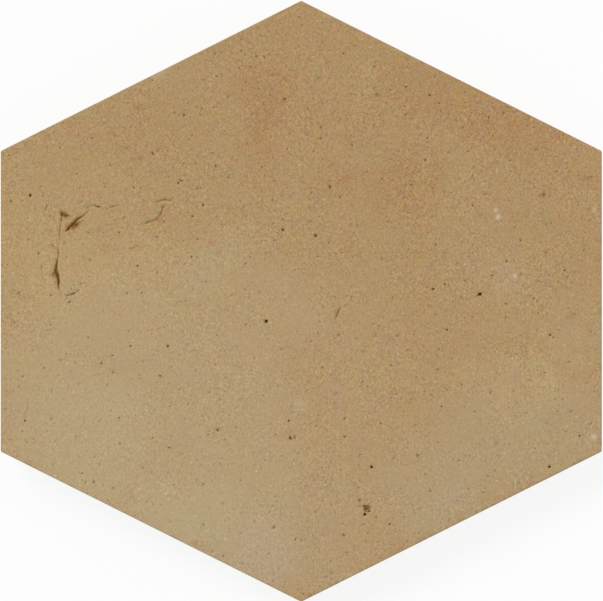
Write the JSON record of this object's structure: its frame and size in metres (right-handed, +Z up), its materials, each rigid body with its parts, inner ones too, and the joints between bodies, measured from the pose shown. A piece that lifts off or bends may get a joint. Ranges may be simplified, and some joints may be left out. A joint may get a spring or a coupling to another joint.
{
  "type": "hexagon floor tile",
  "caption": "Thick hexagonal floor tile of plain fired clay, with sides that lean in to a flat back, softly rounded edges, and tears and small blow-holes in its walking face.",
  "frame": {"origin": "centre of the flat back, at the level of the surface that the tile lies on", "axes": "+Z up out of the walking face, +X square to the two parallel upright sides, +Y towards one of the two points on the tile's centreline"},
  "size_m": [0.2, 0.1998, 0.02],
  "materials": {
    "terracotta": "matte"
  },
  "bodies": {
    "root": {"hexagon_tile": "terracotta"}
  },
  "joints": []
}
